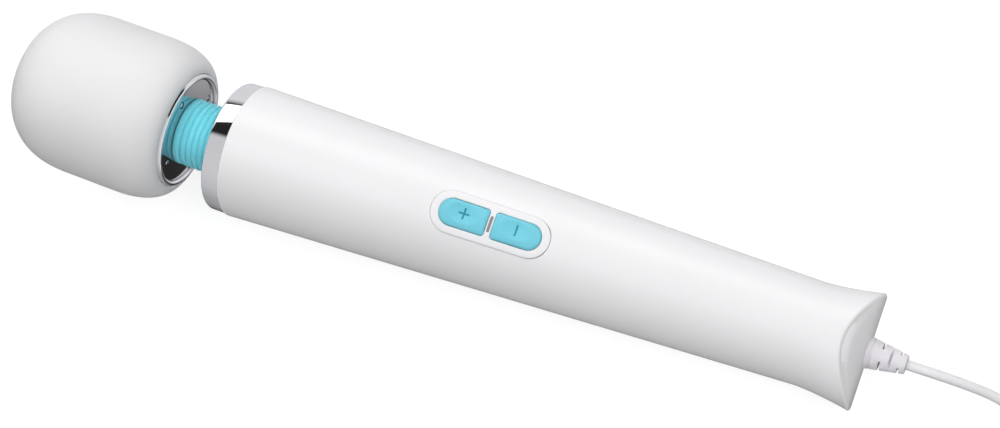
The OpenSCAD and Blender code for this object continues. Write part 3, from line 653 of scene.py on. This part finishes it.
# ---------------------------------------------------------------- handle
SHELL_X, GRIP_R, TAPER, FLARE_X, LEN, END_R = 96.2, 25.5, 0.0296, 318.0, 340.0, 26.0
TAIL_X = 314.0  # from here the rows of points turn into the end's own curve
PANEL_X, PANEL_L, PANEL_W = 201.4, 46.0, 16.0
PATCH = 30  # how far the panel's patch of the shell reaches along the wand, either way
PANEL_R = 22.39  # the radius along which v is measured round the panel's middle
# Each half's long edges: how far in from the surface, and how far from the plane of the seam
SEAM = ((0.0, 0.30), (0.03, 0.16), (0.12, 0.045), (1.3, 0.045))


def grip(x):
    return GRIP_R - (x - SHELL_X) * TAPER


def half_width(x):
    """The handle's half width, which flares at the tail."""
    over = np.clip((np.asarray(x, float) - FLARE_X) / (LEN - FLARE_X), 0, 1.05)
    return grip(np.asarray(x, float)) + 3.4 * over ** 1.5


def half_height(x):
    return grip(np.minimum(np.asarray(x, float), 332))


def face_x(z):
    """Where the tail's end face is: it is part of a cylinder across the wand."""
    return LEN - END_R + math.sqrt(END_R ** 2 - z * z)


def skin(x, angle, deep=0.0):
    """A point of the handle's surface, with its place round the handle in degrees from +Y."""
    a = math.radians(angle)
    return (x, (float(half_width(x)) - deep) * math.cos(a), (float(half_height(x)) - deep)
            * math.sin(a))


def stations():
    """Places along the handle, at which a ring of points goes round it."""
    xs = [SHELL_X + v for v in (0.9, 2, 4)]
    xs += list(np.linspace(104, PANEL_X - PATCH, 22))
    xs += list(np.linspace(PANEL_X - PATCH, PANEL_X + PATCH, 49))[1:]
    xs += list(np.linspace(PANEL_X + PATCH, TAIL_X - 9, 22))[1:]
    return xs + [TAIL_X - 6, TAIL_X - 3, TAIL_X]


HALF_STEPS = 128  # round one half shell
HOLE_FROM, HOLE_TO = 38, 90  # steps round the half shell that the panel's patch takes
TAIL_ROWS = 18
RIM_R, CORD_HOLE = 1.3, 0.24  # the end's rounding, and the hole for the cord as part of its width


def end_x(angle):
    """Where the tail's surface meets its end face, found by repeated steps."""
    x = LEN
    for _ in range(30):
        x = face_x(float(half_height(x)) * math.sin(math.radians(angle)))
    return x


def shell_half(side):
    """Rows of points from the collar to the tail and in over the end face, for one half."""
    angles = [180.0 * k / HALF_STEPS * side for k in range(HALF_STEPS + 1)]
    lead_in = [(0.0, 1.6), (0.0, 0.42), (0.06, 0.22), (0.2, 0.07), (0.42, 0.0)]
    rows = [[skin(SHELL_X + dx, a, deep) for a in angles] for dx, deep in lead_in]
    rows += [[skin(x, a) for a in angles] for x in stations()]
    ends = [end_x(a) for a in angles]
    for k in range(1, TAIL_ROWS + 1):
        rows.append([skin(TAIL_X + (e - RIM_R - TAIL_X) * k / TAIL_ROWS, a)
                     for a, e in zip(angles, ends)])
    for t in np.linspace(0, math.pi / 2, 7)[1:]:
        back, deep = RIM_R * (1 - math.sin(t)), RIM_R * (1 - math.cos(t))
        row = []
        for a, e in zip(angles, ends):
            x, y, z = skin(e, a, deep)
            row.append((min(e - back, face_x(z) - back), y, z))
        rows.append(row)
    rim = rows[-1]
    for s in (0.94, 0.86, 0.76, 0.64, 0.52, 0.42, 0.34, 0.28, CORD_HOLE):
        rows.append([(face_x(z * s), y * s, z * s) for _, y, z in rim])
    rows.append([(x - 1.4, y, z) for x, y, z in rows[-1]])
    return np.array(rows)


def seam_edge(rows, side):
    """Adds columns that round the half's long edges inwards, so that a fine seam shows."""
    def column(edge, inward, z):
        moved = edge.copy()
        moved[..., 1:2] *= 1 - np.minimum(inward / np.abs(edge[..., 1:2]), 1)
        moved[..., 2] = z
        return moved
    starts = [column(rows[:, :1], inward, z * side) for inward, z in reversed(SEAM)]
    ends = [column(rows[:, -1:], inward, z * side) for inward, z in SEAM]
    return np.concatenate([*starts, rows[:, 1:-1], *ends], 1)


def stadium(l, w, n):
    """n points round a stadium, evenly by length, from its +u end and counter-clockwise."""
    r, s = w / 2, (l - w) / 2
    total = 4 * s + TAU * r
    out = []
    for k in range(n):
        d = total * k / n
        if d < math.pi * r / 2:
            t = d / r
            out.append((s + r * math.cos(t), r * math.sin(t)))
        elif d < math.pi * r / 2 + 2 * s:
            out.append((s - (d - math.pi * r / 2), r))
        elif d < math.pi * r * 1.5 + 2 * s:
            t = (d - math.pi * r / 2 - 2 * s) / r
            out.append((-s - r * math.sin(t), r * math.cos(t)))
        elif d < math.pi * r * 1.5 + 4 * s:
            out.append((-s + d - math.pi * r * 1.5 - 2 * s, -r))
        else:
            t = (d - math.pi * r * 1.5 - 4 * s) / r
            out.append((s + r * math.sin(t), -r * math.cos(t)))
    return np.array(out)


def on_cone(u, v, high=0.0):
    """A point of the panel: u along the wand and v round it from the panel's middle, and how
    far it stands above the handle's surface."""
    x = PANEL_X + u
    r = grip(x) + high
    t = math.pi / 2 - v / PANEL_R
    return (x, r * math.cos(t), r * math.sin(t))


def flat_place(point):
    """The u and v of a point of the handle's surface, as on_cone has them."""
    x, y, z = point
    return (x - PANEL_X, (math.pi / 2 - math.atan2(z, y)) * PANEL_R)


def panel_patch(rows):
    """Fills the hole left in the top half's grid, round the stadium that the bezel sits in."""
    i0, i1 = [min(range(len(rows)), key=lambda i: abs(rows[i][0][0] - x))
              for x in (PANEL_X - PATCH, PANEL_X + PATCH)]
    loop = [(i1, j) for j in range(HOLE_FROM, HOLE_TO)] + \
           [(i, HOLE_TO) for i in range(i1, i0, -1)] + \
           [(i0, j) for j in range(HOLE_TO, HOLE_FROM, -1)] + \
           [(i, HOLE_FROM) for i in range(i0, i1)]
    outer = np.array([flat_place(rows[i][j]) for i, j in loop])
    inner = stadium(PANEL_L, PANEL_W, 720)
    # Each point of the loop is paired with the stadium's point in about the same direction
    angle_o = np.arctan2(outer[:, 1] / 12, outer[:, 0] / 27)
    angle_i = np.arctan2(inner[:, 1] / 8.6, inner[:, 0] / 24)
    order = np.argsort(angle_i)
    pick = np.stack([np.interp(angle_o, angle_i[order], inner[order][:, k], period=TAU)
                     for k in (0, 1)], 1)
    straight = (PANEL_L - PANEL_W) / 2
    core = np.stack([np.clip(pick[:, 0], -straight, straight), np.zeros(len(loop))], 1)
    out = pick - core
    out /= np.linalg.norm(out, axis=1)[:, None]
    exact = core + out * PANEL_W / 2
    wall = [(0.0, -2.4), (0.0, -1.2), (0.0, -0.34), (0.04, -0.16), (0.13, -0.05), (0.28, 0.0)]
    layers = [[on_cone(u, v, high) for u, v in exact + out * offset] for offset, high in wall]
    edge = exact + out * wall[-1][0]
    for s in (0.06, 0.13, 0.22, 0.33, 0.45, 0.58, 0.72, 0.86):
        layers.append([on_cone(u, v) for u, v in edge + (outer - edge) * s])
    layers.append([tuple(rows[i][j]) for i, j in loop])
    return np.array(layers), i0, i1


def shell_form(side):
    rows = shell_half(side)
    wide = seam_edge(rows, side)
    verts, faces = place(wide.reshape(-1, 3), WAND), grid_faces(*wide.shape[:2])
    if side < 0:
        return verts, faces
    layers, i0, i1 = panel_patch(rows)
    patch = (place(layers.reshape(-1, 3), WAND), grid_faces(*layers.shape[:2], False, True))
    moved, kept = len(SEAM) - 1, []  # the seam moves the plain columns on by so many
    for k, face in enumerate(faces):
        i, j = divmod(k, wide.shape[1] - 1)
        if not (i0 <= i < i1 and HOLE_FROM <= j - moved < HOLE_TO):
            kept.append(face)
    return join((verts, kept), patch)


piece("handle_top_skin", *shell_form(1), "shell_plastic", "handle", ["handle_top_shell"],
      sharp=50)
bottom = piece("handle_bottom_skin", *shell_form(-1), "shell_plastic", "handle",
               ["handle_bottom_shell"], sharp=50)
# Screw wells: x, y, and how far below the axis the shell is cut away
WELLS = ((168, 12, 10), (168, -12, 10), (300, 10, 9), (300, -10, 9))
WELL_R, WELL_FLOOR, WELL_MOUTH = 3.0, 9.5, 30
lining_line = [(WELL_FLOOR, WELL_R), (WELL_MOUTH, WELL_R), (WELL_MOUTH, WELL_R - 0.01),
               (WELL_FLOOR + 0.1, WELL_R - 0.01), (WELL_FLOOR + 0.1, 0), (WELL_FLOOR, 0)]
for i, (x, y, deep) in enumerate(WELLS):
    at = WAND @ shift(x, y, 0) @ turn(90, "Y")
    cut(bottom, rod(WELL_R, deep, WELL_MOUTH, at, 48))
    lining, faces = lathe(lining_line, Matrix.Identity(4), 48)
    for v in lining:
        if v[0] == WELL_MOUTH:  # the lining's mouth lies in the shell's surface
            v[0] = math.sqrt(grip(x + v[2]) ** 2 - (y + v[1]) ** 2) - 0.03
    piece(f"screw_well_{i + 1}", place(lining, at), faces, "inner_plastic", "handle")


# ---------------------------------------------------------------- bezel, buttons
PLUS_U, MINUS_U = -10.4, 10.4
BUTTON_L, BUTTON_W, BUTTON_CORNER = 18.4, 10.0, 1.2
BEZEL_HIGH, BEZEL_DEEP = 0.18, -2.2
LENS_HALF = (0.47, 2.95)
SIGN_ARM, SIGN_HALF = 2.1, 0.36
BAR = [(SIGN_HALF, -SIGN_ARM), (SIGN_HALF, SIGN_ARM), (-SIGN_HALF, SIGN_ARM),
       (-SIGN_HALF, -SIGN_ARM)]
PLUS = [(SIGN_ARM, -SIGN_HALF), (SIGN_ARM, SIGN_HALF), (SIGN_HALF, SIGN_HALF), BAR[1], BAR[2],
        (-SIGN_HALF, SIGN_HALF), (-SIGN_ARM, SIGN_HALF), (-SIGN_ARM, -SIGN_HALF),
        (-SIGN_HALF, -SIGN_HALF), BAR[3], BAR[0], (SIGN_HALF, -SIGN_HALF)]


def region(outer, holes, spacing):
    """Triangles that fill an outline less its holes, with points on a grid inside."""
    loops = [np.asarray(outer), *holes]
    points, edges = [], []
    for loop in loops:
        k = len(points)
        points += [tuple(p) for p in loop]
        edges += [(k + i, k + (i + 1) % len(loop)) for i in range(len(loop))]
    low, high = loops[0].min(0), loops[0].max(0)
    border = np.concatenate(loops)
    for i, u in enumerate(np.arange(low[0] + spacing / 2, high[0], spacing)):
        for v in np.arange(low[1] + spacing * (0.25 + 0.5 * (i % 2)), high[1], spacing):
            if inside(u, v, loops[0]) and not any(inside(u, v, h) for h in holes):
                if np.min(np.hypot(*(border - (u, v)).T)) > spacing * 0.45:
                    points.append((u, v))
    everything, near = 0, 1e-6
    verts, _, faces, *_ = delaunay_2d_cdt([Vector(p) for p in points], edges, [], everything,
                                          near)
    verts = np.array([tuple(v) for v in verts])
    keep = []
    for f in faces:
        middle = verts[list(f)].mean(0)
        if inside(*middle, loops[0]) and not any(inside(*middle, h) for h in holes):
            keep.append(tuple(f))
    return verts, keep


def inside(u, v, loop):
    """Whether the point is within the loop, by how often a line from it crosses the loop."""
    a, b = loop, np.roll(loop, -1, 0)
    crosses = (a[:, 1] > v) != (b[:, 1] > v)
    with np.errstate(divide="ignore", invalid="ignore"):
        x = a[:, 0] + (v - a[:, 1]) * (b[:, 0] - a[:, 0]) / (b[:, 1] - a[:, 1])
    return bool(np.sum(crosses & (u < x)) % 2)


def strips(outline_at, steps, point=on_cone):
    """A band of quads through outline_at(offset) at (offset, height) steps."""
    rows = np.array([[point(u, v, high) for u, v in outline_at(offset)]
                     for offset, high in steps])
    return place(rows.reshape(-1, 3), WAND), grid_faces(*rows.shape[:2], False, True)


def spread(points, step):
    """The outline with points added on its long straight runs."""
    out = []
    for a, b in zip(points, np.roll(points, -1, 0)):
        n = max(1, int(np.hypot(*(b - a)) / step + 0.5))
        out += [a + (b - a) * k / n for k in range(n)]
    return np.array(out)


def button_outline(centre, mirror):
    """A function from an outward offset to a button's outline, which is round at its outer end
    and nearly square at its inner end."""
    def at(offset):
        a, b = -BUTTON_L / 2 - offset, BUTTON_L / 2 + offset
        h = BUTTON_W / 2 + offset
        corner = BUTTON_CORNER + offset
        points = rounded([(b, -h, corner), (b, h, corner), (a, h, h * 0.999),
                          (a, -h, h * 0.999)], 14)
        return spread(points * (mirror, 1), 0.8) + (centre, 0)
    return at


def bezel_outline(offset):
    return stadium(PANEL_L + 2 * offset, PANEL_W + 2 * offset, 200)


def lens_outline(offset):
    u, v = LENS_HALF[0] + offset, LENS_HALF[1] + offset
    return spread(rounded([(-u, -v, 0.3), (u, -v, 0.3), (u, v, 0.3), (-u, v, 0.3)], 3), 0.6)


def bezel_point(u, v, high):
    """The bezel is flatter than the handle, so that its long edges stand a little prouder."""
    return on_cone(u, v, high + (0.3 * (v / 8) ** 2 if high > -0.15 else 0))


def bezel():
    rim = [(-0.16, BEZEL_DEEP), (-0.16, -0.25), (-0.2, -0.02), (-0.34, BEZEL_HIGH * 0.75),
           (-0.5, BEZEL_HIGH)]
    # A button's hole widens below its lip, because the button moves straight down in it
    hole = [(0.22, BEZEL_HIGH), (0.13, BEZEL_HIGH * 0.5), (0.1, -0.02), (0.35, -0.35),
            (0.6, -1.0), (0.6, BEZEL_DEEP)]
    lens_hole = [(0.12, BEZEL_HIGH), (0.02, 0.05), (0.02, BEZEL_DEEP)]
    openings = [(button_outline(PLUS_U, 1), hole), (button_outline(MINUS_U, -1), hole),
                (lens_outline, lens_hole)]
    forms = [strips(bezel_outline, rim, bezel_point)]
    forms += [strips(outline, wall, bezel_point) for outline, wall in openings]
    flat, faces = region(bezel_outline(rim[-1][0]),
                         [outline(wall[0][0]) for outline, wall in openings], 0.9)
    forms.append((place([bezel_point(u, v, BEZEL_HIGH) for u, v in flat], WAND), faces))
    return join(*forms)


piece("button_bezel_skin", *bezel(), "shell_plastic", "handle", ["button_bezel"], sharp=50)


def button(name, outline, sign_line, at_u, at_v):
    """One button, with a hollow and its sign at at_u, at_v of the panel."""
    border, sign = outline(0), spread(np.array(sign_line) + (at_u, at_v), 0.4)
    proud, hollow_deep, sign_deep = 0.9, 1.2, 0.22

    def high(u, v):
        """The cap's height: crowned across, rounded at its border, and hollow under a finger."""
        from_border = np.min(np.hypot(*(border - (u, v)).T))
        edge, crown = 0.6 * math.exp(-from_border / 0.4), 0.012 * v * v
        out = ((u - at_u) / 6.2) ** 2 + ((v - at_v) / 3.6) ** 2
        return proud - edge - crown - hollow_deep * max(0.0, 1 - out) ** 1.2

    flat, faces = region(border, [sign], 0.42)
    wall = [[on_cone(u, v, high(u, v) - low) for u, v in sign] for low in (0, sign_deep)]
    forms = [strips(outline, [(0.0, -3.2), (0.0, -1.0), (0.0, 0.0)]),
             (place([on_cone(u, v, high(u, v)) for u, v in flat], WAND), faces),
             (place(np.array(wall).reshape(-1, 3), WAND), grid_faces(2, len(sign), False, True))]
    piece(f"{name}_button_skin", *join(*forms), "button_teal", name, [f"{name}_button"], sharp=50)
    flat, faces = region(sign, [], 0.3)
    piece(f"{name}_sign", place([on_cone(u, v, high(u, v) - 0.2) for u, v in flat], WAND), faces,
          "sign_ink", name)


button("plus", button_outline(PLUS_U, 1), PLUS, PLUS_U + 0.1, 0.7)
button("minus", button_outline(MINUS_U, -1), BAR, MINUS_U - 0.6, 0.7)


# ---------------------------------------------------------------- strain relief
relief = piece("strain_relief_skin", *lathe(rounded(
    [(338.6, 2, 0), (338.6, 5.6, 0), (341.15, 5.62, 0.3), (341.2, 5.1, 0.12), (341.6, 5.1, 0.12),
     (341.65, 5.42, 0.2), (353.65, 3.42, 0.35), (353.7, 2.0, 0.1)], 5), WAND, 72),
    "relief_rubber", "handle", ["strain_relief"])
cut(relief, *slits((344.8, 348.2, 351.4), 2.3, 9, WAND))
bevel = relief.modifiers.new("soft_edges", "BEVEL")
bevel.width, bevel.segments, bevel.limit_method = 0.00012, 2, "ANGLE"

# ---------------------------------------------------------------- CAD nodes that stay
for name, node in frame["nodes"].items():
    node.data.materials.clear()
    node.data.materials.append(MATERIALS[SLOTS[name]])


# ---------------------------------------------------------------- floor and light
PAPER = 4  # half the side of the ground's sheets, in metres


def ground(name, high, pale, glow):
    """A large sheet of paper; glow is how far it is lit from below."""
    mesh = bpy.data.meshes.new(name)
    corners = [(x * PAPER, y * PAPER, high) for x, y in ((-1, -1), (1, -1), (1, 1), (-1, 1))]
    mesh.from_pydata(corners, [], [(0, 1, 2, 3)])
    paper = Nodes(name, Roughness=0.9, Specular_IOR_Level=0.1, Emission_Color=(1, 1, 1, 1),
                  Emission_Strength=glow)
    fleck = paper.noise(3)
    paper.colour(paper.mix(fleck, tint((pale,) * 3, 0.98), tint((pale,) * 3, 1.02)))
    mesh.materials.append(paper.material)
    obj = bpy.data.objects.new(name, mesh)
    bpy.context.scene.collection.objects.link(obj)
    return obj


# The floor as it is seen is lit from below, as a light table is. The object itself is lit and
# reflected by a plain grey one.
table = ground("light_table", -0.0004, 0.3, 0.8)
table.visible_diffuse = table.visible_glossy = table.visible_transmission = False
table.visible_shadow = False
grey = ground("grey_floor", -0.0006, 0.62, 0.0)
grey.visible_camera = grey.visible_glossy = False

# What polished parts mirror: bands along the wand, as (degrees over it from its far side, grey),
# which fade to white towards the tail
LEVELS = ((-180, 0.62), (-165, 0.52), (-150, 0.42), (-130, 0.36), (-110, 0.2), (-94, 0.03),
          (-88, 0.05), (-80, 0.52), (-60, 0.7), (-50, 0.78), (9, 0.82), (14, 0.55), (20, 0.03),
          (80, 0.02), (87, 0.69), (150, 0.7), (180, 0.62))
TAIL_WHITE, FADE = (0.95, 0.95, 0.96, 1), (0.5, 0.65)
world = bpy.data.worlds.new("studio")
bpy.context.scene.world = world
world.use_nodes = True
sky = world.node_tree
direction = new_node(sky, "ShaderNodeTexCoord").outputs["Generated"]
along, side, up = new_node(sky, "ShaderNodeSeparateXYZ", {0: direction}).outputs
over = new_node(sky, "ShaderNodeMath", {0: up, 1: side}, operation="ARCTAN2").outputs[0]
span = new_node(sky, "ShaderNodeMapRange",
                {"Value": over, "From Min": -math.pi, "From Max": math.pi}).outputs[0]
bands = new_node(sky, "ShaderNodeValToRGB", {0: span})
tailward = new_node(sky, "ShaderNodeMapRange",
                    {"Value": along, "From Min": FADE[0], "From Max": FADE[1]}).outputs[0]
background = sky.nodes["Background"].inputs
sky.links.new(mixed(sky, tailward, bands.outputs[0], TAIL_WHITE), background["Color"])
background["Strength"].default_value = 1.0
ramp = bands.color_ramp
while len(ramp.elements) > 1:
    ramp.elements.remove(ramp.elements[-1])
for k, (degrees, grey_level) in enumerate(LEVELS):
    stop = ramp.elements[0] if k == 0 else ramp.elements.new(degrees / 360 + 0.5)
    stop.position = degrees / 360 + 0.5
    stop.color = (grey_level, grey_level, grey_level * 1.02, 1)
world.cycles_visibility.diffuse = False

LIGHT_AWAY, AIM_HIGH = 1.6, 0.03  # metres from the row's x axis, and over the floor


def over_wand(name, degrees, along, size, power):
    """An area light that is aimed at the wand, so many degrees over it from its far side."""
    angle = math.radians(degrees)
    data = bpy.data.lights.new(name, "AREA")
    data.shape, data.size, data.size_y = "RECTANGLE", *size
    data.energy = power
    light = bpy.data.objects.new(name, data)
    light.location = (along, LIGHT_AWAY * math.cos(angle), LIGHT_AWAY * math.sin(angle))
    aim = Vector((0, 0, AIM_HIGH)) - light.location
    light.rotation_euler = aim.to_track_quat("-Z", "Y").to_euler()
    bpy.context.scene.collection.objects.link(light)
    return light


# The soft box on the far side reaches from about 23 to 57 degrees. The other lights only fill.
over_wand("soft_box", 40, -0.65, (2.6, 0.98), 17.5)
for name, degrees, along, power in (("fill_far", 65, 0, 4.6), ("fill_head", 95, -0.9, 7.8),
                                    ("fill_tail", 95, 0.9, 16), ("fill_near", 160, 0, 3.1)):
    over_wand(name, degrees, along, (0.9, 0.9), power).visible_glossy = False
